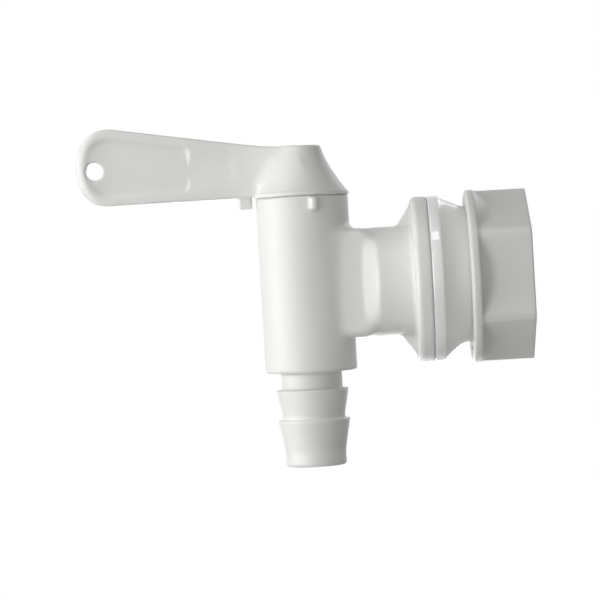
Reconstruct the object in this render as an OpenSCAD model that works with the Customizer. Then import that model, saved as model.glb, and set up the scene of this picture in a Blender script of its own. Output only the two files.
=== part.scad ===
// Plastic lever spigot for a water or drinks container.
// The origin is on the inlet axis, in the flange's wall-side face.
// +X runs into the container, -X to the lever, +Z up; the hose spout points down.

/* [Barrel] */
// Outside diameter of the upright barrel
barrel_d = 19.86; // [19:0.1:24]
// Diameter of the bore in which the plug turns
plug_bore_d = 15.8; // [14.6:0.1:16.4]
// Top of the barrel above the inlet axis
barrel_top = 19.2; // [18.6:0.1:26]
// Underside of the barrel below the inlet axis
barrel_bottom = 18.6; // [17:0.1:24]
// Thickness of the floor under the plug
barrel_floor = 5.6; // [2:0.1:6]
// Rounding of the barrel's lower edge
barrel_edge = 0.65; // [0.2:0.05:1.2]
// Height of the snap bead's middle below the barrel top
bead_drop = 2.6; // [2:0.1:3.4]
// How far the snap bead stands into the bore
bead_stand = 0.35; // [0.15:0.05:0.5]

/* [Spout] */
// Diameter of the plain neck above the barbs
spout_neck_d = 13.1; // [12:0.1:15]
// Length of the plain neck
spout_neck_len = 3.7; // [2:0.1:12]
// Diameter over the barbs
barb_d = 15.66; // [15.2:0.1:18]
// Distance between the two barbs
barb_pitch = 6.5; // [5:0.1:9]
// Short straight land between the barbs
barb_land = 0.9; // [0.3:0.1:2]
// Slope of the barbs, in degrees from the spout's axis
barb_slope = 11; // [8:0.5:14]
// Diameter of the straight tip, which starts the hose
tip_d = 13.06; // [12.4:0.1:14]
// Length from the lower barb's edge to the end of the spout
tip_reach = 10.1; // [9.4:0.1:16]
// Rounding of the tip's end
tip_round = 0.7; // [0.3:0.05:1]
// Diameter of the outlet channel
outlet_d = 9.2; // [6:0.1:10]

/* [Inlet] */
// Distance from the barrel's axis to the flange's wall-side face
reach = 26.7; // [24:0.1:50]
// Outside diameter of the inlet tube
tube_d = 23.5; // [21.6:0.1:25]
// Width of the flat-sided neck between barrel and tube
neck_w = 14.6; // [13.4:0.1:17]
// How far the neck's flat top lies below the tube's
neck_waist = 0.1; // [0.05:0.05:1]
// Rounding of the neck's long edges
neck_edge = 1.8; // [1:0.1:3]
// Distance from the barrel's axis to the start of the tube's shoulder
shoulder_x = 11.9; // [11.4:0.1:13]
// Length over which the neck's sides swell to the tube
shoulder_len = 3.9; // [2:0.1:4.5]
// Diameter of the bore through the neck
neck_bore_d = 10.4; // [8:0.1:10.8]
// Diameter of the bore through tube and shank
inlet_bore_d = 18; // [14:0.1:18.6]

/* [Flange] */
// Diameter of the flange
flange_d = 35.6; // [34:0.1:42]
// Thickness of the flange
flange_t = 3.5; // [3:0.1:7]
// Rounding of the flange's outer edge on the barrel side
flange_edge = 1.1; // [0.4:0.1:1.4]
// Length of a gusset along the tube, in front of the flange
gusset_len = 3.2; // [2:0.1:5]
// How far a gusset's top stays below the flange's edge
gusset_drop = 0.8; // [0.4:0.1:3]
// Thickness of a gusset
gusset_t = 3; // [1.5:0.1:5]

/* [Shank] */
// Major diameter of the shank's pipe thread
thread_d = 26.44; // [25:0.02:27.6]
// Length of the shank behind the flange
shank_len = 20.6; // [19:0.1:40]
// Chamfer at the end of the shank
shank_chamfer = 0.7; // [0.2:0.1:1.2]

/* [Lever] */
// Distance from the barrel's axis to the lever's tip
lever_len = 48.4; // [42:0.1:75]
// Thickness of the lever's arm
lever_t = 3.6; // [3:0.1:5]
// Half of the paddle's rounded end, along the lever
end_a = 7.1; // [6:0.1:8]
// Half of the paddle's height at its rounded end
end_b = 8.3; // [7.6:0.1:9]
// Roundness of the paddle's end, where 2 is an ellipse
end_power = 2.25; // [2:0.05:3]
// Fall of the arm's top edge towards the hood, per length
top_slope = 0.172; // [0.14:0.002:0.2]
// Rise of the arm's lower edge towards the hood
low_rise = 0.2; // [0:0.1:0.6]
// Radius of the arm's flare where it meets the hood
flare_r = 50; // [35:1:90]
// Diameter of the hanging hole
hole_d = 3.8; // [2.4:0.1:4]
// Distance from the lever's tip to the centre of the hole
hole_inset = 4; // [3.8:0.1:4.6]
// How far the hole's centre lies below the middle of the rounded end
hole_drop = 0.6; // [0:0.1:1]
// Width of the rim round the recess in the paddle
rim_w = 2.1; // [1.6:0.1:2.6]
// Depth of the recess
recess_depth = 0.7; // [0.3:0.05:1]
// Length of the recess
recess_len = 23; // [16:0.1:24]
// Length of the sloping wall at the recess's hole end
recess_ramp = 6.5; // [2:0.1:8]
// Rounding of the recess's inner corners
recess_corner = 1.6; // [0.6:0.1:2.4]
// Radius of the shallow groove that runs on along the arm
groove_r = 10.6; // [7:0.1:14]
// Length of that groove
groove_len = 9.5; // [6:0.1:10]
// Width and length of the stop lug under the arm
lug_w = 2.8; // [2:0.1:3.6]
// How far the lug hangs below the arm
lug_drop = 2.4; // [1.8:0.1:3.2]
// Gap between the lug and the barrel
lug_gap = 0.87; // [0.5:0.05:1.4]

/* [Hood] */
// Diameter of the hood at its lip
hood_d = 20.6; // [20:0.1:24]
// Height of the hood
hood_h = 10.5; // [9:0.1:13]
// Diameter of the hood's flat top
hood_top_d = 9.3; // [8:0.1:10]
// Thickness of the hood's lip
lip_t = 0.35; // [0.2:0.05:0.6]
// Hollowness of the hood's cone, where 1 is straight
hood_power = 1.4; // [1:0.05:2]
// Gap between the hood's lip and the barrel's top
hood_gap = 0.5; // [0.4:0.05:1]
// Depth of the hollow under the hood
hood_hollow = 0.5; // [0.4:0.05:0.8]

/* [Plug] */
// Radial running gap between plug and barrel
run_gap = 0.05; // [0.02:0.01:0.1]
// Bore of the hollow plug
plug_bore_in = 10.2; // [8:0.1:10.6]
// Diameter of the plug's side window
window_d = 10; // [7:0.1:10.4]
// Top of the plug's hollow above the inlet axis
hollow_top = 5.6; // [5.4:0.1:7]
// Width of the square tang that carries the lever
tang_w = 6.4; // [5:0.1:6.8]
// Height of the tang above the plug's collar
tang_h = 5; // [3:0.1:5.6]
// Thickness of an O-ring
ring_t = 1.36; // [1:0.02:1.5]
// Height of the upper O-ring above the inlet axis
upper_ring_z = 11; // [9:0.1:13]
// Depth of the lower O-ring below the inlet axis
lower_ring_z = 9.4; // [8:0.1:10.4]

/* [Stops] */
// Angle from the side of the barrel to a stop boss
stop_angle = 14.5; // [13.6:0.1:25]
// Width of a stop boss
stop_w = 1.75; // [1.2:0.05:1.9]
// Height of a stop boss
stop_h = 2.7; // [2.2:0.1:4]
// Distance from the barrel's top to the boss
stop_drop = 0.45; // [0:0.05:0.6]
// How far a stop boss stands out
stop_stand = 1.65; // [1.4:0.05:2.5]

/* [Seal and washer] */
// Thickness of the seal's rim
seal_rim_t = 2.2; // [1.5:0.1:4]
// Length of the seal's cone
seal_cone_len = 5.6; // [3:0.1:8]
// Diameter of the seal's small end
seal_end_d = 29.2; // [28.6:0.1:32]
// Hollowness of the seal's cone, where 1 is straight
seal_power = 1.6; // [1:0.05:2]
// Radial gap between the shank and the rings that slide on it
slide_gap = 0.28; // [0.1:0.02:0.5]
// Thickness of the slip washer
washer_t = 1.4; // [0.8:0.1:2]
// Width of the slip washer's flat ring
washer_w = 1.7; // [1:0.1:2.6]

/* [Nut] */
// Width across the nut's flats
nut_af = 32.5; // [32:0.1:38]
// Diameter to which the nut's corners are turned
nut_corner_d = 37.1; // [36.6:0.1:42]
// Diameter of the nut's flange
nut_flange_d = 37.4; // [37:0.1:46]
// Thickness of the nut's flange
nut_flange_t = 2; // [1.5:0.1:4]
// Length of the nut
nut_len = 13.25; // [12:0.1:20]
// Diameter of the waist that is turned into the nut's flats
waist_d = 34; // [33:0.1:36]
// Distance from the nut's flange side to the narrowest part of the waist
waist_x = 6.6; // [4:0.1:9]
// Diameter of the waist's turned form at the nut's end
waist_end_d = 34.9; // [33:0.1:36.6]
// Steepness of the cove between flange and waist
cove_power = 4; // [1.5:0.1:5]

/* [Hidden] */
$fn = 96;

white = [0.95, 0.95, 0.93];
pale = [0.88, 0.88, 0.85];
natural = [0.93, 0.92, 0.87];
dark_rubber = [0.16, 0.16, 0.16];

// Small lengths that keep joined solids overlapping and cutters clear
sink = 0.5;
over = 1;
soft_edge = 0.4;
root_fillet = 0.5;
face_gap = 0.1;
edge_break = 0.2;

barrel_r = barrel_d / 2;
plug_bore_r = plug_bore_d / 2;
tube_r = tube_d / 2;
neck_r = tube_r - neck_waist;
flange_r = flange_d / 2;
thread_r = thread_d / 2;
plug_r = plug_bore_r - run_gap;
bore_floor_z = -barrel_bottom + barrel_floor;
bead_z = barrel_top - bead_drop;
bead_half = 0.4;

barb_r = barb_d / 2;
tip_r = tip_d / 2;
spout_neck_r = spout_neck_d / 2;
barb1_z = -barrel_bottom - spout_neck_len;
barb2_z = barb1_z - barb_pitch;
tip_z = barb2_z - tip_reach;
land_r = barb_r - (barb_pitch - barb_land) * tan(barb_slope);
tip_top_z = barb2_z - (barb_r - tip_r) / tan(barb_slope);

shoulder_start = -reach + shoulder_x;
shoulder_end = shoulder_start + shoulder_len;

hood_z = barrel_top + hood_gap;
hood_top = hood_z + hood_h;
hood_r = hood_d / 2;
hood_top_r = hood_top_d / 2;
arm_half = lever_t / 2;
arm_drop = 0.2;
arm_bottom = hood_z - arm_drop;
end_x = -lever_len + end_a;
end_z = arm_bottom + end_b;
flare_start = -hood_r - lever_t;
flare_stop = -1;
// How far the recess's inner end bulges along the arm
recess_bulge = 1.2;

collar_z = barrel_top + face_gap;
collar_t = hood_gap + hood_hollow - 3 * face_gap;
collar_top = collar_z + collar_t;
collar_r = barrel_r - 2 * soft_edge;
tang_top = collar_top + tang_h;
plug_bottom = bore_floor_z + 2 * face_gap;

// The O-rings stand a hair clear of the bore and of their grooves
ring_clear = 0.02;
ring_groove_w = ring_t + 12 * ring_clear;
ring_floor_r = plug_bore_r - ring_t - 2.5 * ring_clear;
bead_groove_w = 2 * (bead_half + bead_stand + face_gap);
bead_floor_r = plug_bore_r - bead_stand - run_gap;

seal_x = 2 * face_gap;
seal_cone_x = seal_x + seal_rim_t;
seal_end_x = seal_cone_x + seal_cone_len;
washer_x = seal_end_x + face_gap;
nut_x = washer_x + face_gap;
recess_floor_x = washer_x + washer_t + face_gap;
slide_r = thread_r + slide_gap;
washer_r = slide_r + washer_w;
nut_bore_r = thread_r + run_gap;

// Points on an arc about (cx, cy), from angle a0 to a1
function arc(cx, cy, r, a0, a1, n = 6) =
    [for (i = [0:n]) let (a = a0 + (a1 - a0) * i / n) [cx + r * cos(a), cy + r * sin(a)]];

// Points on a curve that leaves p0 towards p1 and arrives at p2 from it
function bend(p0, p1, p2, n = 6) =
    [for (i = [0:n]) let (t = i / n) (1 - t) * (1 - t) * p0 + 2 * t * (1 - t) * p1 + t * t * p2];

// Share of a smooth step that is done at t, from 0 to 1
function smooth_step(t) = (1 - cos(180 * t)) / 2;

// One point of the paddle's rounded end, inset by d, at angle a
function end_point(a, d = 0) =
    [end_x + (end_a - d) * sign(cos(a)) * pow(abs(cos(a)), 2 / end_power),
     end_z + (end_b - d) * sign(sin(a)) * pow(abs(sin(a)), 2 / end_power)];

// Half of the arm's thickness at x, which grows towards the hood
function arm_half_at(x) =
    arm_half + pow(max(0, x - flare_start), 2) / (2 * flare_r);

// Turns a solid of revolution from the Z axis to the X axis
module along_x() {
    rotate([0, 90, 0])
        children();
}

// Stands an outline up in the XZ plane, w thick about Y = 0
module upright(w) {
    rotate([90, 0, 0])
        linear_extrude(height = w, center = true)
            children();
}

module on_barrel_axis() {
    translate([-reach, 0, 0])
        children();
}

// Barrel and barbed spout, one turned outline
module barrel_and_spout() {
    rotate_extrude()
        polygon(concat(
            [[0, tip_z]],
            arc(tip_r - tip_round, tip_z + tip_round, tip_round, -90, 0),
            [[tip_r, tip_top_z], [barb_r, barb2_z], [land_r, barb2_z]],
            [[land_r, barb2_z + barb_land], [barb_r, barb1_z]],
            arc(spout_neck_r + root_fillet, barb1_z + root_fillet, root_fillet, 270, 180),
            arc(spout_neck_r + root_fillet, -barrel_bottom - root_fillet, root_fillet, 180, 90),
            arc(barrel_r - barrel_edge, -barrel_bottom + barrel_edge, barrel_edge, -90, 0),
            arc(barrel_r - soft_edge, barrel_top - soft_edge, soft_edge, 0, 90),
            [[0, barrel_top]]
        ));
}

// Cross-section of the neck, a rectangle with rounded corners
module neck_section() {
    edge_y = neck_w / 2 - neck_edge;
    edge_z = neck_r - neck_edge;
    square([2 * edge_z, neck_w], center = true);
    square([2 * neck_r, 2 * edge_y], center = true);
    for (y = [-1, 1], z = [-1, 1])
        translate([z * edge_z, y * edge_y])
            circle(r = neck_edge);
}

// One side's cutter, which leaves the shoulder between the neck's side and the tube
module shoulder_cutter() {
    swell = tube_r + face_gap - neck_w / 2;
    steps = 12;
    linear_extrude(height = 3 * tube_r, center = true)
        polygon(concat(
            [for (i = [0:steps])
                [shoulder_start + shoulder_len * i / steps,
                 neck_w / 2 + swell * smooth_step(i / steps)]],
            [[shoulder_end, 2 * tube_r], [shoulder_start - over, 2 * tube_r],
             [shoulder_start - over, neck_w / 2]]
        ));
}

// Tube, flange and shank, one turned outline
module tube_and_flange() {
    flange_x = -flange_t;
    difference() {
        along_x()
            rotate_extrude()
                polygon(concat(
                    [[0, shoulder_start], [tube_r, shoulder_start]],
                    arc(tube_r + root_fillet, flange_x - root_fillet, root_fillet, 180, 90),
                    arc(flange_r - flange_edge, flange_x + flange_edge, flange_edge, -90, 0),
                    arc(flange_r - soft_edge, -soft_edge, soft_edge, 0, 90),
                    [[thread_r, 0], [thread_r, shank_len - shank_chamfer]],
                    [[thread_r - shank_chamfer, shank_len], [0, shank_len]]
                ));
        for (side = [0, 1])
            mirror([0, side, 0])
                shoulder_cutter();
    }
}

// Neck, whose corners run down to the tube along the shoulder
module neck() {
    corner_r = neck_r + neck_w / 4;
    steps = 8;
    intersection() {
        translate([-reach, 0, 0])
            along_x()
                linear_extrude(height = shoulder_x + shoulder_len)
                    neck_section();
        along_x()
            rotate_extrude()
                polygon(concat(
                    [[0, -reach], [corner_r, -reach]],
                    [for (i = [0:steps])
                        [corner_r + (neck_r - corner_r) * smooth_step(i / steps),
                         shoulder_start + shoulder_len * i / steps]],
                    [[0, shoulder_end]]
                ));
    }
}

// Three-cornered gusset between the tube and the flange's front
module gusset() {
    flange_x = -flange_t;
    tip = flange_r - gusset_drop;
    upright(gusset_t)
        polygon([
            [flange_x - gusset_len, tube_r],
            [flange_x - gusset_len, tube_r - sink],
            [flange_x + sink, tube_r - sink],
            [flange_x + sink, tip - sink],
            [flange_x + soft_edge, tip]
        ]);
}

// Boss that stops the lever's lug, on the side of the barrel
module stop_boss() {
    boss_r = barrel_r + stop_stand;
    top = barrel_top - stop_drop;
    rotate([0, 0, stop_angle - 90])
        upright(stop_w)
            polygon([
                [barrel_r - sink, top],
                [boss_r - soft_edge, top],
                [boss_r, top - soft_edge],
                [boss_r, top - stop_h + soft_edge],
                [boss_r - soft_edge, top - stop_h],
                [barrel_r - sink, top - stop_h]
            ]);
}

// Bore for the plug, with the snap bead left standing in it
module plug_bore() {
    rotate_extrude()
        polygon([
            [0, bore_floor_z],
            [plug_bore_r, bore_floor_z],
            [plug_bore_r, bead_z - bead_half - bead_stand],
            [plug_bore_r - bead_stand, bead_z - bead_half],
            [plug_bore_r - bead_stand, bead_z + bead_half],
            [plug_bore_r, bead_z + bead_half + bead_stand],
            [plug_bore_r, barrel_top + over],
            [0, barrel_top + over]
        ]);
}

module tap_body() {
    color(white)
        difference() {
            union() {
                on_barrel_axis()
                    barrel_and_spout();
                neck();
                tube_and_flange();
                for (side = [0, 1])
                    mirror([0, 0, side])
                        gusset();
                on_barrel_axis()
                    for (side = [0, 1])
                        mirror([0, side, 0])
                            stop_boss();
            }
            on_barrel_axis()
                plug_bore();
            translate([-reach, 0, tip_z - over])
                cylinder(d = outlet_d, h = bore_floor_z - tip_z + 2 * over);
            translate([-reach, 0, 0])
                along_x()
                    cylinder(d = neck_bore_d, h = shoulder_x + shoulder_len + over);
            translate([shoulder_end, 0, 0])
                along_x()
                    cylinder(d = inlet_bore_d, h = shank_len - shoulder_end + over);
        }
}

// Outside of the hood: a concave cone with a thin lip and a flat top
module hood() {
    cone_r = hood_r - edge_break;
    rise = hood_h - lip_t;
    steps = 8;
    rotate_extrude()
        polygon(concat(
            [[0, hood_z], [hood_r, hood_z], [cone_r, hood_z + lip_t]],
            [for (i = [1:steps - 1])
                [hood_top_r + (cone_r - hood_top_r) * pow(1 - i / steps, hood_power),
                 hood_z + lip_t + rise * i / steps]],
            arc(hood_top_r - soft_edge, hood_top - soft_edge, soft_edge, 20, 90, 3),
            [[0, hood_top]]
        ));
}

// Side view of the arm and its rounded paddle
module arm_outline() {
    steps = 28;
    first = 81;
    last = 270;
    bend_share = 0.09;
    bend_len = 3;
    crest = end_point(first);
    meet_x = min(crest[0] + (crest[1] - hood_top) / top_slope, -hood_top_r);
    meet = [meet_x, hood_top];
    polygon(concat(
        [for (i = [0:steps]) end_point(first + (last - first) * i / steps)],
        [[flare_stop, arm_bottom + low_rise], [flare_stop, hood_top]],
        bend([meet_x + bend_len, hood_top], meet, meet + (crest - meet) * bend_share)
    ));
}

// Plan of the arm, which flares into the hood
module arm_plan() {
    steps = 10;
    xs = [for (i = [0:steps]) flare_start + (flare_stop - flare_start) * i / steps];
    polygon(concat(
        [[-lever_len - over, -arm_half]],
        [for (x = xs) [x, -arm_half_at(x)]],
        [for (i = [steps:-1:0]) [xs[i], arm_half_at(xs[i])]],
        [[-lever_len - over, arm_half]]
    ));
}

module arm() {
    intersection() {
        upright(lever_t * 4)
            arm_outline();
        linear_extrude(height = end_z + end_b + over)
            arm_plan();
    }
}

// Side view of the paddle's recess: the rounded end inset, with a bulging inner end
module recess_outline() {
    steps = 24;
    first = 84;
    last = 270;
    inner_x = -lever_len + rim_w + recess_len;
    low = end_z - end_b + rim_w;
    high = end_z + end_b - rim_w - top_slope * (recess_len - end_a);
    middle = (low + high) / 2;
    side_x = inner_x - recess_bulge;
    bend_x = inner_x - recess_bulge / 2;
    polygon(concat(
        [for (i = [0:steps]) end_point(first + (last - first) * i / steps, rim_w)],
        bend([side_x - recess_corner, low], [side_x, low], [bend_x, low + recess_corner], 4),
        [[inner_x, middle - 1], [inner_x, middle + 1]],
        bend([bend_x, high - recess_corner], [side_x, high], [side_x - recess_corner, high], 4)
    ));
}

// Floor of the recess in plan: flat, and ramping up at the hole end
module recess_plan() {
    left = -lever_len + rim_w;
    floor_y = arm_half - recess_depth;
    ramp_r = (recess_ramp * recess_ramp + recess_depth * recess_depth) / (2 * recess_depth);
    steps = 6;
    polygon(concat(
        [for (i = [0:steps]) let (x = -recess_ramp * (1 - i / steps))
            [left + recess_ramp + x, floor_y + ramp_r - sqrt(ramp_r * ramp_r - x * x)]],
        [[left + recess_len + over, floor_y], [left + recess_len + over, lever_t],
         [left, lever_t]]
    ));
}

module recess() {
    intersection() {
        upright(lever_t * 4)
            recess_outline();
        linear_extrude(height = end_z + end_b + over)
            recess_plan();
    }
}

// Shallow groove from the recess along the arm, deepest at the recess
module groove() {
    start = -lever_len + rim_w + recess_len - recess_bulge;
    depth = recess_depth - soft_edge / 10;
    drop = 1.9;
    run_out = 1.4;
    translate([start, arm_half + groove_r - depth, end_z - drop])
        rotate([0, 90, atan(depth / groove_len)])
            cylinder(r = groove_r, h = groove_len * run_out, $fn = 128);
}

// Stop lug, which hangs beside the barrel and meets the stop bosses
module lug() {
    right = -barrel_r - lug_gap;
    left = right - lug_w;
    bottom = arm_bottom - lug_drop;
    upright(lug_w)
        polygon(concat(
            [[right, arm_bottom + sink], [left, arm_bottom + sink]],
            arc(left + soft_edge, bottom + soft_edge, soft_edge, 180, 270, 4),
            arc(right - soft_edge, bottom + soft_edge, soft_edge, 270, 360, 4)
        ));
}

module lever() {
    socket_w = tang_w + 2 * run_gap;
    color(white)
        on_barrel_axis()
            difference() {
                union() {
                    hood();
                    arm();
                    lug();
                }
                for (side = [0, 1])
                    mirror([0, side, 0]) {
                        recess();
                        groove();
                    }
                translate([-lever_len + hole_inset, 0, end_z - hole_drop])
                    rotate([90, 0, 0])
                        cylinder(d = hole_d, h = 4 * lever_t, center = true);
                translate([0, 0, barrel_top - 3 * over])
                    cylinder(r = hood_r, h = hood_z - barrel_top + 3 * over);
                translate([0, 0, hood_z - over])
                    cylinder(r = collar_r + 3 * face_gap, h = hood_hollow + over);
                translate([-socket_w / 2, -socket_w / 2, hood_z])
                    cube([socket_w, socket_w, tang_top + face_gap - hood_z]);
            }
}

// Ring cutter that leaves a groove of this width and floor radius round the plug
module plug_groove(z, width, floor_r) {
    translate([0, 0, z - width / 2])
        difference() {
            cylinder(r = plug_bore_r + over, h = width);
            translate([0, 0, -over])
                cylinder(r = floor_r, h = width + 2 * over);
        }
}

module plug() {
    color(natural)
        on_barrel_axis()
            difference() {
                union() {
                    translate([0, 0, plug_bottom])
                        cylinder(r = plug_r, h = collar_z - plug_bottom + sink);
                    translate([0, 0, collar_z])
                        cylinder(r = collar_r, h = collar_t);
                    translate([-tang_w / 2, -tang_w / 2, collar_top - sink])
                        cube([tang_w, tang_w, tang_h + sink]);
                }
                translate([0, 0, plug_bottom - over])
                    cylinder(d = plug_bore_in, h = hollow_top - plug_bottom + over);
                along_x()
                    cylinder(d = window_d, h = plug_r + over);
                plug_groove(upper_ring_z, ring_groove_w, ring_floor_r);
                plug_groove(-lower_ring_z, ring_groove_w, ring_floor_r);
                plug_groove(bead_z, bead_groove_w, bead_floor_r);
            }
}

module o_ring(z) {
    centre_r = plug_bore_r - ring_clear - ring_t / 2;
    color(dark_rubber)
        on_barrel_axis()
            translate([0, 0, z])
                rotate_extrude()
                    translate([centre_r, 0])
                        circle(d = ring_t, $fn = 32);
}

module upper_o_ring() {
    o_ring(upper_ring_z);
}

module lower_o_ring() {
    o_ring(-lower_ring_z);
}

// Seal with a flat rim and a slightly hollow cone
module cone_seal() {
    end_r = seal_end_d / 2;
    cone_r = flange_r - edge_break;
    steps = 6;
    color(pale)
        along_x()
            rotate_extrude()
                polygon(concat(
                    [[slide_r, seal_x]],
                    arc(flange_r - soft_edge, seal_x + soft_edge, soft_edge, -90, 0, 4),
                    [[flange_r, seal_cone_x - edge_break]],
                    [for (i = [0:steps])
                        [end_r + (cone_r - end_r) * pow(1 - i / steps, seal_power),
                         seal_cone_x + seal_cone_len * i / steps]],
                    [[slide_r, seal_end_x]]
                ));
}

module slip_washer() {
    color(natural)
        translate([washer_x, 0, 0])
            along_x()
                difference() {
                    cylinder(r = washer_r, h = washer_t);
                    translate([0, 0, -over])
                        cylinder(r = slide_r, h = washer_t + 2 * over);
                }
}

// Rounded flange of the nut, its cove and the waist that fills the middle of the flats
module nut_flange() {
    ring_r = nut_flange_d / 2;
    cove_r = ring_r - edge_break;
    waist_r = waist_d / 2;
    end_r = waist_end_d / 2;
    front_round = 0.9;
    back_round = 0.5;
    steps = 8;
    rotate_extrude()
        polygon(concat(
            [[0, 0]],
            arc(ring_r - front_round, front_round, front_round, -90, 0),
            arc(ring_r - back_round, nut_flange_t - back_round, back_round, 0, 60, 4),
            [for (i = [0:steps])
                [waist_r + (cove_r - waist_r) * pow(1 - i / steps, cove_power),
                 nut_flange_t + (waist_x - nut_flange_t) * i / steps]],
            [for (i = [1:steps])
                [waist_r + (end_r - waist_r) * pow(i / steps, 2),
                 waist_x + (nut_len - waist_x) * i / steps]],
            [[0, nut_len]]
        ));
}

// Six-sided body, its corners turned to a round
module nut_hex() {
    intersection() {
        cylinder(d = nut_af / cos(30), h = nut_len, $fn = 6);
        cylinder(d = nut_corner_d, h = nut_len);
    }
}

module hex_nut() {
    color(white)
        translate([nut_x, 0, 0])
            along_x()
                difference() {
                    union() {
                        nut_flange();
                        nut_hex();
                    }
                    translate([0, 0, -over])
                        cylinder(r = nut_bore_r, h = nut_len + 2 * over);
                    translate([0, 0, -over])
                        cylinder(r = washer_r + 3 * face_gap, h = recess_floor_x - nut_x + over);
                }
}

tap_body();
lever();
plug();
upper_o_ring();
lower_o_ring();
cone_seal();
slip_washer();
hex_nut();
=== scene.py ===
"""Looks of a white plastic lever spigot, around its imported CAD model.

The mouldings are built as distance fields in millimetres, whose surfaces are meshed
by a surface net, so that every edge and every meeting of two forms is rounded as in
a mould. Their sizes are the CAD model's. A field is negative inside its solid, and u
is the distance along X from the barrel's axis.
"""
import math

import bmesh
import bpy
import numpy as np
from mathutils import Matrix, Vector


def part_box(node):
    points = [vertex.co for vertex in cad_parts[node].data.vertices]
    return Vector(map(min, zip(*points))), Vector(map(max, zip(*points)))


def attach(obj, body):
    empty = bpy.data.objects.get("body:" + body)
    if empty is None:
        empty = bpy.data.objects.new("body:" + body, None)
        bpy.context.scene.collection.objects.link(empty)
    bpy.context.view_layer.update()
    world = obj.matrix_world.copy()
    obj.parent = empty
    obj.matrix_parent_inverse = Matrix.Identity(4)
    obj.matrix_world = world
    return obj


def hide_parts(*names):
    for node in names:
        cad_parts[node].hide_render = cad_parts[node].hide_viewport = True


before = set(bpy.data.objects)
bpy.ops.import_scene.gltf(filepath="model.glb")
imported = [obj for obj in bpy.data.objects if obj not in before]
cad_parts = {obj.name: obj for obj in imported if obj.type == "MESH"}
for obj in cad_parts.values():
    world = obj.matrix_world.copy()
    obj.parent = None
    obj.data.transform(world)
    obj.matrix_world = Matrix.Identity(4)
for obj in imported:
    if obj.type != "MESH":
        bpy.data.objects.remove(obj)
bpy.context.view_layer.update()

MM = 0.001

# Camera, at the photograph's view angle, with the photograph's frame taken as 600 x 600
CAMERA_AZIMUTH = 0.9
CAMERA_ELEVATION = 0.1
CAMERA_ROLL = 3.27
CAMERA_DISTANCE = 600 * MM
CAMERA_LENS = 166.6
CAMERA_SENSOR = 36
CAMERA_NEAR = 0.01
LOOK_AT = Vector((-28.32, 0, -2.98)) * MM

# Soft lights: azimuth from the camera's side (negative to the left), elevation,
# watts, width in metres
LIGHTS = (
    (-65, 0, 1.2, 0.36),
    (-85, 0, 1.35, 0.36),
    (-70, 60, 0.9, 0.36),
    (-45, 0, 0.85, 0.36),
    (-20, 30, 0.55, 0.36),
    (-90, -60, 0.3, 0.36),
    (30, 0, 0.2, 0.36),
    (0, 61, 0.5, 0.15),
    (-25, 0, 0.3, 0.36),
    (-20, -30, 0.15, 0.36),
    (145, 20, 0.6, 0.36),
    (180, -20, 1.8, 0.36),
)
LIGHT_DISTANCE = 0.7
LIGHT_TARGET = Vector((-20, 0, 0)) * MM
AMBIENT = 0.06

FLOOR_Z = -100 * MM
FLOOR_HALF = 0.6
FLOOR_BACK = 0.26
FLOOR_GLOW = 0.9
FLOOR_GRAIN = 40
FLOOR_DARK = (0.78, 0.78, 0.78, 1)
FLOOR_PALE = (0.82, 0.82, 0.82, 1)

# Plastics
WHITE = (0.795, 0.79, 0.77)
NUT_WHITE = (0.73, 0.725, 0.705)
SEAL_WHITE = (0.9, 0.9, 0.88)
WAX = (0.78, 0.77, 0.72)
BLACK = (0.03, 0.03, 0.03)
SCATTER_RADIUS = (1, 0.95, 0.9)
SCATTER_SCALE = 1.2 * MM
COAT_ROUGHNESS = 0.06
COAT_IOR = 1.55
FLOW_SCALE = 90
FLOW_DETAIL = 3
FLOW_RANGE = (0.3, 0.7)
FLOW_SHADE = 0.975
DULL_SPREAD = 0.04
GRAIN_SCALE = 2500
GRAIN_DETAIL = 2
GRAIN_STRENGTH = 0.08
GRAIN_DEPTH = 0.02 * MM

# Sizes in millimetres. Those of the forms are the CAD model's. EDGE and FILLET are
# rounding radii, SINK is how far a form runs on inside its neighbour, and INSET is a
# small step inwards.
SHARP_EDGE = 0.1

BARREL_X = -26.7
BARREL_R = 9.93
BARREL_TOP = 19.2
BARREL_BOTTOM = -18.6
BARREL_FOOT_EDGE = 0.8
PLUG_BORE_R = 7.9
BARREL_FLOOR = -13
BARREL_FLOOR_EDGE = 0.2
BEAD_Z = 16.6
BEAD_HALF = 0.75
BEAD_HEIGHT = 0.35
OUTLET_R = 4.6
BORE_EDGE = 0.35

SPOUT_NECK_R = 6.55
SPOUT_NECK_TOP = -16
SPOUT_FILLET = 0.6
BARB_R = 7.83
BARB_TOPS = (-22.3, -28.8)
BARB_LEN = 7.4
BARB_SLOPE = math.radians(11)
BARB_EDGE = 0.25
BARB_FILLET = 0.5
LAND_R = 6.74
LAND_TOP = -24
TIP_R = 6.53
TIP_TOP = -29.5
TIP_Z = -38.9
TIP_EDGE = 0.85
TIP_FILLET = 0.2

TUBE_R = 11.75
NECK_HALF = 7.3
NECK_TOP = 11.65
NECK_CORNER = 1.8
NECK_BORE_R = 5.2
NECK_FILLET = 1
NECK_FILLET_GAIN = 0.9
NECK_FILLET_Z = 5
NECK_FILLET_RUN = 5
INLET_BORE_R = 9
INLET_EDGE = 0.4
SHOULDER_X = -14.8
SHOULDER_LEN = 3.9
FLANGE_R = 17.8
FLANGE_T = 3.5
FLANGE_EDGE = 1.3
FLANGE_WALL_EDGE = 0.5
FLANGE_FILLET = 0.9
GUSSET_LEN = 3.2
GUSSET_HALF = 1.5
GUSSET_SINK = 0.4
GUSSET_INSET = 0.8
GUSSET_FOOT = 8
GUSSET_EDGE = 0.5
GUSSET_FILLET = 0.6

THREAD_R = 13.22
THREAD_PITCH = 1.814
THREAD_DEPTH = 1.16
THREAD_START = 1.5
THREAD_RUN_IN = 2
SHANK_LEN = 20.6
SHANK_EDGE = 0.8
SHANK_SINK = 1

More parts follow.
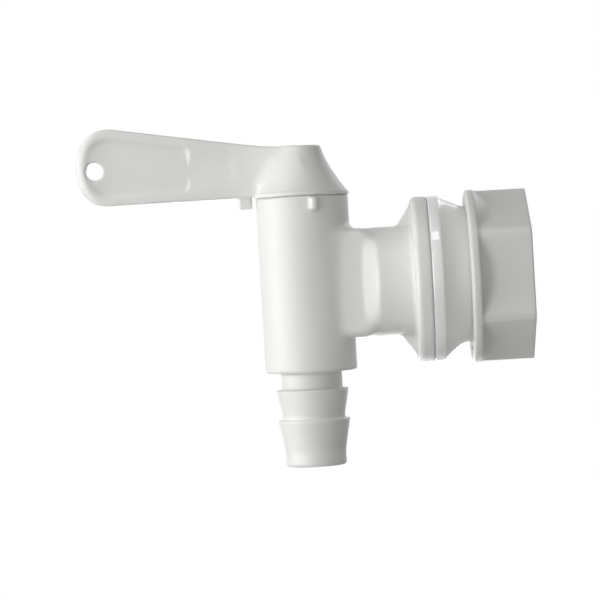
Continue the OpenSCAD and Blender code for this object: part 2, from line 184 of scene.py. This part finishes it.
STOP_ANGLE = math.radians(14.5)
STOP_OUT = 11.58
STOP_HALF = 0.88
STOP_TOP = 18.75
STOP_BOTTOM = 16.05
STOP_FOOT = 8.6
STOP_EDGE = 0.5
STOP_FACE_EDGE = 1
STOP_FILLET = 0.35

LEVER_TIP = -48.4
LEVER_HALF = 1.8
LEVER_EDGE = 0.7
PADDLE_EDGE_GAIN = 1.3
PADDLE_EDGE_U = -43
PADDLE_EDGE_RUN = 4
END_A = 7.1
END_B = 8.3
END_POWER = 2.25
END_X = LEVER_TIP + END_A
END_Z = 27.8
CREST_X = -39.94
CREST_Z = 36.01
TOP_SLOPE = 0.172
TOP_EDGE = 0.8
ARM_INSET = 0.02
ARM_BOTTOM = 19.5
ARM_BOTTOM_SLOPE = 0.005
ARM_END = -1
FLARE_START = -16.5
FLARE_R = 52

HOLE_X = -44.4
HOLE_Z = 27.2
HOLE_R = 1.9
HOLE_EDGE = 0.45
RIM = 2.1
RECESS_DEPTH = 0.7
RECESS_END = -23.3
RECESS_RAMP = 6.5
RECESS_BOW = 1.2
RECESS_Z = 26.5
RECESS_HALF = 6
RECESS_CORNER = 1.2
RECESS_EDGE = 0.6
GROOVE_Z = END_Z - 1.9
GROOVE_R = 10.6
GROOVE_LEN = 9.5
GROOVE_ENDS = (RECESS_END - 6, -12.5)
GROOVE_FADE = 0.12
GROOVE_FADE_U = -15.5

HOOD_Z = 19.7
HOOD_DROP = 0.48
HOOD_TOP = 30.2
HOOD_TOP_EDGE = 0.5
HOOD_R = 10.15
HOOD_TOP_R = 4.65
HOOD_INSET = 0.2
HOOD_POWER = 1.4
LIP = 0.35
LIP_EDGE = 0.2
LIP_FILLET = 0.3
ARM_FILLET = 0.4
ARM_FILLET_GAIN = 2.2
ARM_FILLET_ENDS = (20, 29.8)
ARM_FILLET_RUN = 3
HOLLOW_R = 9.43
HOLLOW_TOP = 20.2
SOCKET_HALF = 3.25
SOCKET_TOP = 25.1
LUG_X = (-13.6, -10.8)
LUG_Z = 17.1
LUG_TOP = 21
LUG_HALF = 1.4
LUG_EDGE = 0.4
LUG_FOOT_EDGE = 0.6

SEAL_X = 0.02
SEAL_CONE_X = 2.4
SEAL_CONE_START = 1
SEAL_END_X = 8.17
SEAL_LIFT = 0.5
SEAL_LIFT_RUN = 4
SEAL_END_R = 14.6
SEAL_POWER = 1.45
SEAL_POWER_TILT = 0.2
SEAL_BORE_R = 13.5
SEAL_EDGE = 0.35
SEAL_INSET = 0.1
SEAL_FILLET = 0.3

NUT_X = 8.2
NUT_LEN = 13.25
NUT_FLANGE_R = 18.55
NUT_FLANGE_T = 2
NUT_FLANGE_EDGE = 0.9
NUT_FLANGE_FILLET = 0.3
NUT_FLAT = 16.25
NUT_CORNER_R = 18.35
NUT_CORNER_EDGE = 0.2
NUT_EDGE = 0.25
NUT_COVE_X = 6
NUT_COVE_POWER = 1.7
NUT_COVE_REACH = 1.1
NUT_COVE_INSET = 0.2
NUT_COVE_FILLET = 0.5
NUT_SINK = 0.3
NUT_THREAD_GAP = 0.08
NUT_BORE_EDGE = 0.3
WASHER_RECESS_R = 15.5
WASHER_RECESS_X = 9.6

# Where a radius changes along its axis, the field overstates the distance to the
# surface. These shares bring it back.
THREAD_SHARE = 0.6
CONE_SHARE = 0.85
COVE_SHARE = 0.7

# Surface nets: cell in millimetres, and how the corners are drawn to the surface
COARSE_STEP = 0.36
FINE_STEP = 0.3
NET_MARGIN = 1.5
NET_ROUNDS = 3
NET_REACH = 0.4
NET_SHIFT = 0.01
NET_LEAST_SLOPE = 0.05
TINY = 1e-6


def direction(azimuth, elevation):
    """Unit vector towards a place seen at these angles, in radians, from the front."""
    return Vector((math.sin(azimuth) * math.cos(elevation),
                   -math.cos(azimuth) * math.cos(elevation),
                   math.sin(elevation)))


def add_camera():
    """A long-lens camera that looks at the spigot from the front."""
    azimuth = math.radians(CAMERA_AZIMUTH)
    roll = math.radians(CAMERA_ROLL)
    back = direction(azimuth, math.radians(CAMERA_ELEVATION))
    level_right = Vector((math.cos(azimuth), math.sin(azimuth), 0))
    level_up = back.cross(level_right)
    right = level_right * math.cos(roll) - level_up * math.sin(roll)
    up = level_up * math.cos(roll) + level_right * math.sin(roll)
    data = bpy.data.cameras.new("camera")
    data.lens = CAMERA_LENS
    data.sensor_width = CAMERA_SENSOR
    data.clip_start = CAMERA_NEAR
    camera = bpy.data.objects.new("camera", data)
    place = Matrix((right, up, back)).transposed().to_4x4()
    place.translation = LOOK_AT + back * CAMERA_DISTANCE
    camera.matrix_world = place
    bpy.context.collection.objects.link(camera)
    bpy.context.scene.camera = camera


# Distance fields

def soft_min(a, b, k):
    """Union of two fields, with a fillet of about k where they meet."""
    return np.minimum(a, b) - np.maximum(k - np.abs(a - b), 0) ** 2 / (4 * k)


def soft_max(a, b, k):
    """Intersection of two fields, with a rounding of about k on the edge."""
    return np.maximum(a, b) + np.maximum(k - np.abs(a - b), 0) ** 2 / (4 * k)


def cut(solid, tool, k):
    """Solid without tool, the edge rounded by about k."""
    return soft_max(solid, -tool, k)


def smooth_step(t):
    """A rise from 0 to 1 as t goes from 0 to 1, level at both ends."""
    t = np.clip(t, 0, 1)
    return t * t * (3 - 2 * t)


def band(value, low, high):
    """Distance to the slab between low and high."""
    return np.maximum(low - value, value - high)


def thread_surface(x, y, z):
    """Radius of the shank's right-hand thread at a place, plain next to the flange."""
    turn = np.arctan2(z, y) / (2 * math.pi)
    wave = 0.5 - 0.5 * np.cos(2 * math.pi * (x / THREAD_PITCH - turn))
    run_in = smooth_step((x - THREAD_START) / THREAD_RUN_IN)
    return THREAD_R - THREAD_DEPTH * wave * run_in


def spout_field(radius, z):
    """Plain neck, two barbs and the tip of the hose spout."""
    neck_band = band(z, LAND_TOP, SPOUT_NECK_TOP)
    spout = soft_max(radius - SPOUT_NECK_R, neck_band, SHARP_EDGE)
    for top in BARB_TOPS:
        cone_r = BARB_R - (top - z) * math.tan(BARB_SLOPE)
        cone = soft_max((radius - cone_r) * math.cos(BARB_SLOPE), z - top, BARB_EDGE)
        cone = np.maximum(cone, top - BARB_LEN - z)
        spout = soft_min(spout, cone, BARB_FILLET)
    land = np.maximum(radius - LAND_R, band(z, TIP_TOP, LAND_TOP))
    tip = soft_max(radius - TIP_R, TIP_Z - z, TIP_EDGE)
    tip = np.maximum(tip, z - TIP_TOP)
    return soft_min(np.minimum(spout, land), tip, TIP_FILLET)


def neck_and_tube(x, y, z, ring):
    """The flat-sided neck, which turns into the round tube along the shoulder."""
    beside = np.abs(y) - (NECK_HALF - NECK_CORNER)
    above = np.abs(z) - (NECK_TOP - NECK_CORNER)
    slab = np.hypot(np.maximum(beside, 0), np.maximum(above, 0)) - NECK_CORNER
    slab = slab + np.minimum(np.maximum(beside, above), 0)
    share = smooth_step((x - SHOULDER_X) / SHOULDER_LEN)
    section = slab * (1 - share) + (ring - TUBE_R) * share
    return np.maximum(section, band(x, BARREL_X, -FLANGE_T / 2))


def gusset_field(x, y, z):
    """The two webs between tube and flange, above and below."""
    rise = FLANGE_R - GUSSET_INSET - TUBE_R
    slope = math.atan2(GUSSET_LEN + GUSSET_SINK, rise)
    start = -FLANGE_T - GUSSET_LEN
    web = (np.abs(z) - TUBE_R) * math.sin(slope) - (x - start) * math.cos(slope)
    web = soft_max(web, np.abs(y) - GUSSET_HALF, GUSSET_EDGE)
    ends = np.maximum(x + FLANGE_T - GUSSET_SINK, GUSSET_FOOT - np.abs(z))
    return np.maximum(web, ends)


def stop_field(u, y, z):
    """The stop bosses under the hood, one on each side of the barrel."""
    side = np.abs(y)
    out = side * math.cos(STOP_ANGLE) + u * math.sin(STOP_ANGLE)
    along = u * math.cos(STOP_ANGLE) - side * math.sin(STOP_ANGLE)
    height = band(z, STOP_BOTTOM, STOP_TOP)
    boss = soft_max(np.abs(along) - STOP_HALF, height, STOP_EDGE)
    boss = soft_max(boss, out - STOP_OUT, STOP_FACE_EDGE)
    return np.maximum(boss, STOP_FOOT - out)


def tap_field(x, y, z):
    """The whole tap body, with its bores."""
    u = x - BARREL_X
    radius = np.hypot(u, y)
    ring = np.hypot(y, z)

    barrel = soft_max(radius - BARREL_R, BARREL_BOTTOM - z, BARREL_FOOT_EDGE)
    barrel = soft_max(barrel, z - BARREL_TOP, SHARP_EDGE)
    solid = soft_min(barrel, spout_field(radius, z), SPOUT_FILLET)

    wide = smooth_step((z - NECK_FILLET_Z) / NECK_FILLET_RUN)
    fillet = NECK_FILLET + NECK_FILLET_GAIN * wide
    solid = soft_min(solid, neck_and_tube(x, y, z, ring), fillet)

    flange = soft_max(ring - FLANGE_R, -FLANGE_T - x, FLANGE_EDGE)
    flange = soft_max(flange, x, FLANGE_WALL_EDGE)
    solid = soft_min(solid, flange, FLANGE_FILLET)
    solid = soft_min(solid, gusset_field(x, y, z), GUSSET_FILLET)
    solid = soft_min(solid, stop_field(u, y, z), STOP_FILLET)

    shank = (ring - thread_surface(x, y, z)) * THREAD_SHARE
    shank = soft_max(shank, x - SHANK_LEN, SHANK_EDGE)
    shank = np.maximum(shank, -x - SHANK_SINK)
    solid = np.minimum(solid, shank)

    bead = np.clip(BEAD_HALF - np.abs(z - BEAD_Z), 0, BEAD_HEIGHT)
    plug_r = radius - PLUG_BORE_R + bead
    plug_bore = soft_max(plug_r, BARREL_FLOOR - z, BARREL_FLOOR_EDGE)
    outlet = np.maximum(radius - OUTLET_R, z)
    neck_bore = np.maximum(ring - NECK_BORE_R, band(x, BARREL_X, 0))
    inlet = soft_max(ring - INLET_BORE_R, SHOULDER_X + SHOULDER_LEN - x, INLET_EDGE)
    bores = np.minimum(np.minimum(plug_bore, outlet), np.minimum(neck_bore, inlet))
    return cut(solid, bores, BORE_EDGE)


def lever_outline(u, z):
    """Side view of the arm and its rounded paddle."""
    across = np.abs(u - END_X) / END_A + TINY
    up = np.abs(z - END_Z) / END_B + TINY
    level = (across ** END_POWER + up ** END_POWER) ** (1 / END_POWER)
    steep = np.hypot((across / level) ** (END_POWER - 1) / END_A,
                     (up / level) ** (END_POWER - 1) / END_B)
    rounded = (level - 1) / steep
    line = CREST_Z - TOP_SLOPE * (u - CREST_X)
    top = soft_max(line, HOOD_TOP - ARM_INSET, TOP_EDGE)
    above = np.maximum((z - top) * math.cos(TOP_SLOPE), z - END_Z - END_B)
    below = ARM_BOTTOM + ARM_BOTTOM_SLOPE * (u - END_X) - z
    body = np.maximum(np.maximum(above, below), u - ARM_END)
    return np.where(u < END_X, rounded, body)


def hood_field(radius, z):
    """The hood over the barrel, concave like a bell, with a lip at its foot."""
    rise = z - HOOD_Z - LIP
    height = np.clip(rise / (HOOD_TOP - HOOD_Z - LIP), 0, 1)
    spread = HOOD_R - HOOD_INSET - HOOD_TOP_R
    cone_r = HOOD_TOP_R + spread * (1 - height) ** HOOD_POWER
    hood = soft_max((radius - cone_r) * CONE_SHARE, z - HOOD_TOP, HOOD_TOP_EDGE)
    lip = soft_max(radius - HOOD_R, rise, LIP_EDGE)
    return np.maximum(soft_min(hood, lip, LIP_FILLET), HOOD_Z - HOOD_DROP - z)


def recess_field(u, side, z, outline):
    """The paddle's recess, which ramps down from the tip and ends in a curve."""
    middle = (z - RECESS_Z) / RECESS_HALF
    inner = RECESS_END - RECESS_BOW * middle * middle
    pocket = soft_max(outline + RIM, u - inner, RECESS_CORNER)
    ramp = np.clip((u - LEVER_TIP - RIM) / RECESS_RAMP, 0, 1)
    floor = LEVER_HALF - RECESS_DEPTH * (1 - (1 - ramp) ** 2)
    return soft_max(pocket, floor - side, RECESS_CORNER)


def groove_field(u, side, z, half):
    """The shallow groove along the arm, which fades out towards the hood."""
    depth = RECESS_DEPTH * np.minimum(1, 1 - (u - RECESS_END) / GROOVE_LEN)
    depth = depth - GROOVE_FADE * np.maximum(u - GROOVE_FADE_U, 0) ** 2
    groove = np.hypot(z - GROOVE_Z, side - (half + GROOVE_R - depth)) - GROOVE_R
    return np.maximum(groove, band(u, *GROOVE_ENDS))


def lever_field(x, y, z):
    """The whole lever: paddle, arm, hood and stop lug."""
    u = x - BARREL_X
    radius = np.hypot(u, y)
    side = np.abs(y)
    half = LEVER_HALF + np.maximum(u - FLARE_START, 0) ** 2 / (2 * FLARE_R)
    outline = lever_outline(u, z)
    paddle = smooth_step((PADDLE_EDGE_U - u) / PADDLE_EDGE_RUN)
    arm = soft_max(outline, side - half, LEVER_EDGE + PADDLE_EDGE_GAIN * paddle)

    low, high = ARM_FILLET_ENDS
    inside = smooth_step(np.minimum(z - low, high - z) / ARM_FILLET_RUN)
    fillet = ARM_FILLET + ARM_FILLET_GAIN * inside
    solid = soft_min(arm, hood_field(radius, z), fillet)
    under = np.maximum(radius - HOOD_R, z - (HOOD_Z - HOOD_DROP))
    solid = np.maximum(solid, -under)

    lug = soft_max(band(u, *LUG_X), side - LUG_HALF, LUG_EDGE)
    lug = np.maximum(soft_max(lug, LUG_Z - z, LUG_FOOT_EDGE), z - LUG_TOP)
    solid = soft_min(solid, lug, LUG_EDGE)

    hollows = np.minimum(recess_field(u, side, z, outline),
                         groove_field(u, side, z, half))
    solid = cut(solid, hollows, RECESS_EDGE)
    hole = np.hypot(u - HOLE_X, z - HOLE_Z) - HOLE_R
    solid = cut(solid, hole, HOLE_EDGE)
    hollow = np.maximum(radius - HOLLOW_R, z - HOLLOW_TOP)
    socket = np.maximum(np.maximum(np.abs(u), side) - SOCKET_HALF, z - SOCKET_TOP)
    return np.maximum(solid, -np.minimum(hollow, socket))


def nut_field(x, y, z):
    """The backnut, with its flange, cove, thread and the washer's recess."""
    t = x - NUT_X
    ring = np.hypot(y, z)
    flange = soft_max(ring - NUT_FLANGE_R, band(t, 0, NUT_FLANGE_T), NUT_FLANGE_EDGE)

    cove = (NUT_COVE_X - t) / (NUT_COVE_X - NUT_FLANGE_T)
    cove = np.clip(cove, 0, NUT_COVE_REACH) ** NUT_COVE_POWER
    turned_r = NUT_FLAT - NUT_COVE_INSET + (NUT_FLANGE_R - NUT_FLAT) * cove
    turned = (ring - np.minimum(turned_r, NUT_FLANGE_R)) * COVE_SHARE

    slant = z * math.sin(math.radians(60))
    flats = soft_max(np.abs(y / 2 + slant), np.abs(y / 2 - slant), NUT_EDGE)
    flats = soft_max(flats, np.abs(y), NUT_EDGE) - NUT_FLAT
    flats = soft_max(flats, ring - NUT_CORNER_R, NUT_CORNER_EDGE)

    body = soft_min(turned, flats, NUT_COVE_FILLET)
    body = soft_max(body, t - NUT_LEN, NUT_EDGE)
    body = np.maximum(body, NUT_SINK - t)
    solid = soft_min(flange, body, NUT_FLANGE_FILLET)

    bore = (ring - thread_surface(x, y, z) - NUT_THREAD_GAP) * THREAD_SHARE
    recess = np.maximum(ring - WASHER_RECESS_R, x - WASHER_RECESS_X)
    return cut(solid, np.minimum(bore, recess), NUT_BORE_EDGE)


def seal_field(x, y, z):
    """The soft seal: its rim presses on the flange, its cone runs down to the nut."""
    lift = SEAL_LIFT * smooth_step((x - SEAL_CONE_X) / SEAL_LIFT_RUN)
    ring = np.hypot(y, z - lift)
    rim = soft_max(ring - FLANGE_R, band(x, SEAL_X, SEAL_CONE_X), SEAL_EDGE)
    along = np.clip((SEAL_END_X - x) / (SEAL_END_X - SEAL_CONE_X), 0, 1)
    power = SEAL_POWER - SEAL_POWER_TILT * z / ring
    cone_r = SEAL_END_R + (FLANGE_R - SEAL_INSET - SEAL_END_R) * along ** power
    length = band(x, SEAL_CONE_START, SEAL_END_X)
    cone = np.maximum((ring - cone_r) * CONE_SHARE, length)
    solid = soft_min(rim, cone, SEAL_FILLET)
    return np.maximum(solid, SEAL_BORE_R - ring)


# Meshes

def net_points(values, inside, low, step):
    """One corner in each cell that the surface crosses, and each cell's corner number."""
    size = [n - 1 for n in values.shape]
    corners = [(a, b, c) for a in (0, 1) for b in (0, 1) for c in (0, 1)]
    count = np.zeros(size, np.int8)
    for a, b, c in corners:
        count += inside[a:a + size[0], b:b + size[1], c:c + size[2]]
    active = (count > 0) & (count < len(corners))
    cells = np.array(np.nonzero(active))
    number = np.full(size, -1, np.int64)
    number[active] = np.arange(cells.shape[1])

    total = np.zeros(cells.shape)
    hits = np.zeros(cells.shape[1])
    for one in corners:
        for axis in range(3):
            if one[axis]:
                continue
            other = list(one)
            other[axis] = 1
            here = values[tuple(cells[n] + one[n] for n in range(3))]
            there = values[tuple(cells[n] + other[n] for n in range(3))]
            crossed = (here < 0) != (there < 0)
            share = np.where(crossed, here / np.where(crossed, here - there, 1), 0)
            for n in range(3):
                along = one[n] + (share if n == axis else 0)
                total[n] += np.where(crossed, along, 0)
            hits += crossed
    return (cells + total / hits) * step + np.array(low)[:, None], number


def draw_to_surface(points, field, step):
    """The points moved along the field's slope until they lie on its surface."""
    reach = NET_REACH * step
    for _ in range(NET_ROUNDS):
        value = field(*points)
        slope = np.empty_like(points)
        for n in range(3):
            shift = np.zeros((3, 1))
            shift[n] = NET_SHIFT
            change = field(*(points + shift)) - field(*(points - shift))
            slope[n] = change / (2 * NET_SHIFT)
        steep = np.maximum((slope ** 2).sum(0), NET_LEAST_SLOPE)
        points = points - slope * np.clip(value, -reach, reach) / steep
    return points


def net_faces(inside, number):
    """A four-sided face across each grid edge that leaves or enters the solid."""
    faces = []
    for axis in range(3):
        b, c = (axis + 1) % 3, (axis + 2) % 3
        lower = [slice(None)] * 3
        upper = [slice(None)] * 3
        lower[axis], upper[axis] = slice(0, -1), slice(1, None)
        leaves = inside[tuple(lower)] & ~inside[tuple(upper)]
        enters = ~inside[tuple(lower)] & inside[tuple(upper)]
        for edges, order in ((leaves, (0, 1, 2, 3)), (enters, (3, 2, 1, 0))):
            place = np.array(np.nonzero(edges))
            ring = []
            for back_b, back_c in ((1, 1), (0, 1), (0, 0), (1, 0)):
                cell = place.copy()
                cell[b] -= back_b
                cell[c] -= back_c
                ring.append(number[tuple(cell)])
            faces.append(np.stack([ring[n] for n in order], 1))
    return np.concatenate(faces)


def surface_net(field, low, high, step):
    """Corners and faces of the surface where field is zero."""
    axes = [np.arange(a, b + step, step) for a, b in zip(low, high)]
    grid = np.meshgrid(*axes, indexing="ij", sparse=True)
    values = field(*grid).astype(np.float32)
    inside = values < 0
    points, number = net_points(values, inside, low, step)
    points = draw_to_surface(points, field, step)
    return points.T, net_faces(inside, number)


def mesh_object(name, points, faces):
    """A smooth-shaded object from corners in millimetres and four-sided faces."""
    mesh = bpy.data.meshes.new(name)
    mesh.vertices.add(len(points))
    mesh.vertices.foreach_set("co", (points * MM).astype(np.float32).ravel())
    mesh.loops.add(faces.size)
    mesh.loops.foreach_set("vertex_index", faces.astype(np.int32).ravel())
    mesh.polygons.add(len(faces))
    mesh.polygons.foreach_set("loop_start", np.arange(0, faces.size, 4, dtype=np.int32))
    mesh.update(calc_edges=True)
    mesh.polygons.foreach_set("use_smooth", np.ones(len(faces), bool))
    mesh.validate()
    piece = bpy.data.objects.new(name, mesh)
    bpy.context.collection.objects.link(piece)
    return piece


def moulding(name, node, body, field, step, material):
    """A moulded piece that stands for a CAD node, meshed from its field."""
    low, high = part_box(node)
    low = [a / MM - NET_MARGIN * step for a in low]
    high = [a / MM + NET_MARGIN * step for a in high]
    piece = mesh_object(name, *surface_net(field, low, high, step))
    piece.data.materials.append(material)
    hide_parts(node)
    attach(piece, body)


# Materials and light

def node_tree(owner):
    """The nodes and links of a material or world."""
    owner.use_nodes = True
    return owner.node_tree.nodes, owner.node_tree.links


def plastic(name, color, roughness, scatter, gloss=0):
    """Moulded plastic or rubber, a little cloudy, with faint flow marks and fine grain."""
    material = bpy.data.materials.new(name)
    nodes, links = node_tree(material)
    shader = nodes["Principled BSDF"]
    shader.inputs["Subsurface Weight"].default_value = scatter
    shader.inputs["Subsurface Radius"].default_value = SCATTER_RADIUS
    shader.inputs["Subsurface Scale"].default_value = SCATTER_SCALE
    shader.inputs["Coat Weight"].default_value = gloss
    shader.inputs["Coat Roughness"].default_value = COAT_ROUGHNESS
    shader.inputs["Coat IOR"].default_value = COAT_IOR
    place = nodes.new("ShaderNodeTexCoord")

    flow = nodes.new("ShaderNodeTexNoise")
    flow.inputs["Scale"].default_value = FLOW_SCALE
    flow.inputs["Detail"].default_value = FLOW_DETAIL
    tint = nodes.new("ShaderNodeValToRGB")
    shaded, plain = tint.color_ramp.elements
    shaded.position, plain.position = FLOW_RANGE
    shaded.color = (*[c * FLOW_SHADE for c in color], 1)
    plain.color = (*color, 1)
    links.new(place.outputs["Object"], flow.inputs["Vector"])
    links.new(flow.outputs["Fac"], tint.inputs["Fac"])
    links.new(tint.outputs["Color"], shader.inputs["Base Color"])

    dull = nodes.new("ShaderNodeMapRange")
    dull.inputs["To Min"].default_value = roughness - DULL_SPREAD
    dull.inputs["To Max"].default_value = roughness + DULL_SPREAD
    links.new(flow.outputs["Fac"], dull.inputs["Value"])
    links.new(dull.outputs["Result"], shader.inputs["Roughness"])

    grain = nodes.new("ShaderNodeTexNoise")
    grain.inputs["Scale"].default_value = GRAIN_SCALE
    grain.inputs["Detail"].default_value = GRAIN_DETAIL
    bump = nodes.new("ShaderNodeBump")
    bump.inputs["Strength"].default_value = GRAIN_STRENGTH
    bump.inputs["Distance"].default_value = GRAIN_DEPTH
    links.new(place.outputs["Object"], grain.inputs["Vector"])
    links.new(grain.outputs["Fac"], bump.inputs["Height"])
    links.new(bump.outputs["Normal"], shader.inputs["Normal"])
    return material


def soft_light(name, azimuth, elevation, power, width):
    """A square soft light that points at the part and is hidden from the camera."""
    way = direction(math.radians(azimuth), math.radians(elevation))
    data = bpy.data.lights.new(name, "AREA")
    data.size = width
    data.energy = power
    lamp = bpy.data.objects.new(name, data)
    lamp.location = LIGHT_TARGET + way * LIGHT_DISTANCE
    lamp.rotation_euler = way.to_track_quat("Z", "Y").to_euler()
    lamp.visible_camera = False
    bpy.context.collection.objects.link(lamp)


def white_world():
    """Faint even light from all round, plain white where it is seen or reflected."""
    world = bpy.data.worlds.new("studio")
    bpy.context.scene.world = world
    nodes, links = node_tree(world)
    nodes.clear()
    output = nodes.new("ShaderNodeOutputWorld")
    soft = nodes.new("ShaderNodeBackground")
    soft.inputs["Color"].default_value = (1, 1, 1, 1)
    soft.inputs["Strength"].default_value = AMBIENT
    plain = nodes.new("ShaderNodeEmission")
    path = nodes.new("ShaderNodeLightPath")
    seen = nodes.new("ShaderNodeMath")
    seen.operation = "MAXIMUM"
    shown = nodes.new("ShaderNodeMath")
    shown.operation = "MAXIMUM"
    mix = nodes.new("ShaderNodeMixShader")
    links.new(path.outputs["Is Camera Ray"], seen.inputs[0])
    links.new(path.outputs["Is Glossy Ray"], seen.inputs[1])
    links.new(seen.outputs[0], shown.inputs[0])
    links.new(path.outputs["Is Transmission Ray"], shown.inputs[1])
    links.new(shown.outputs[0], mix.inputs["Fac"])
    links.new(soft.outputs[0], mix.inputs[1])
    links.new(plain.outputs[0], mix.inputs[2])
    links.new(mix.outputs[0], output.inputs["Surface"])


def floor_material():
    """Pale paper, which glows for the camera alone so that it is seen as white."""
    material = bpy.data.materials.new("pale_floor")
    nodes, links = node_tree(material)
    nodes.clear()
    output = nodes.new("ShaderNodeOutputMaterial")
    paint = nodes.new("ShaderNodeBsdfDiffuse")
    paper = nodes.new("ShaderNodeTexNoise")
    paper.inputs["Scale"].default_value = FLOOR_GRAIN
    tint = nodes.new("ShaderNodeValToRGB")
    tint.color_ramp.elements[0].color = FLOOR_DARK
    tint.color_ramp.elements[1].color = FLOOR_PALE
    place = nodes.new("ShaderNodeTexCoord")
    links.new(place.outputs["Object"], paper.inputs["Vector"])
    links.new(paper.outputs["Fac"], tint.inputs["Fac"])
    links.new(tint.outputs["Color"], paint.inputs["Color"])
    glow = nodes.new("ShaderNodeEmission")
    glow.inputs["Strength"].default_value = FLOOR_GLOW
    path = nodes.new("ShaderNodeLightPath")
    dark = nodes.new("ShaderNodeEmission")
    dark.inputs["Strength"].default_value = 0
    seen = nodes.new("ShaderNodeMixShader")
    both = nodes.new("ShaderNodeAddShader")
    links.new(path.outputs["Is Camera Ray"], seen.inputs["Fac"])
    links.new(dark.outputs[0], seen.inputs[1])
    links.new(glow.outputs[0], seen.inputs[2])
    links.new(paint.outputs[0], both.inputs[0])
    links.new(seen.outputs[0], both.inputs[1])
    links.new(both.outputs[0], output.inputs["Surface"])
    return material


def floor():
    """A sheet below the spout that takes the part's shadow and casts none itself."""
    shape = bmesh.new()
    corners = [shape.verts.new((x, y, FLOOR_Z)) for x, y in
               ((-FLOOR_HALF, -FLOOR_HALF), (FLOOR_HALF, -FLOOR_HALF),
                (FLOOR_HALF, FLOOR_BACK), (-FLOOR_HALF, FLOOR_BACK))]
    shape.faces.new(corners)
    mesh = bpy.data.meshes.new("floor")
    shape.to_mesh(mesh)
    shape.free()
    mesh.materials.append(floor_material())
    sheet = bpy.data.objects.new("floor", mesh)
    sheet.visible_shadow = False
    bpy.context.collection.objects.link(sheet)


add_camera()
white_world()
for number, lamp in enumerate(LIGHTS):
    soft_light("soft_light_%d" % number, *lamp)
floor()

body_plastic = plastic("body_plastic", WHITE, 0.42, 0.3)
lever_plastic = plastic("lever_plastic", WHITE, 0.42, 0.3)
nut_plastic = plastic("nut_plastic", NUT_WHITE, 0.42, 0.3)
seal_plastic = plastic("seal_plastic", SEAL_WHITE, 0.4, 0.7, gloss=0.8)
waxy_plastic = plastic("waxy_plastic", WAX, 0.35, 0.5)
rubber = plastic("black_rubber", BLACK, 0.45, 0)

moulding("tap_moulding", "tap_body", "tap",
         tap_field, COARSE_STEP, body_plastic)
moulding("lever_moulding", "lever", "valve",
         lever_field, FINE_STEP, lever_plastic)
moulding("nut_moulding", "hex_nut", "nut",
         nut_field, FINE_STEP, nut_plastic)
moulding("seal_moulding", "cone_seal", "tap",
         seal_field, FINE_STEP, seal_plastic)

for node, material in (("slip_washer", waxy_plastic), ("plug", waxy_plastic),
                       ("upper_o_ring", rubber), ("lower_o_ring", rubber)):
    mesh = bpy.data.objects[node].data
    mesh.materials.clear()
    mesh.materials.append(material)

bpy.context.scene.view_settings.view_transform = "Standard"
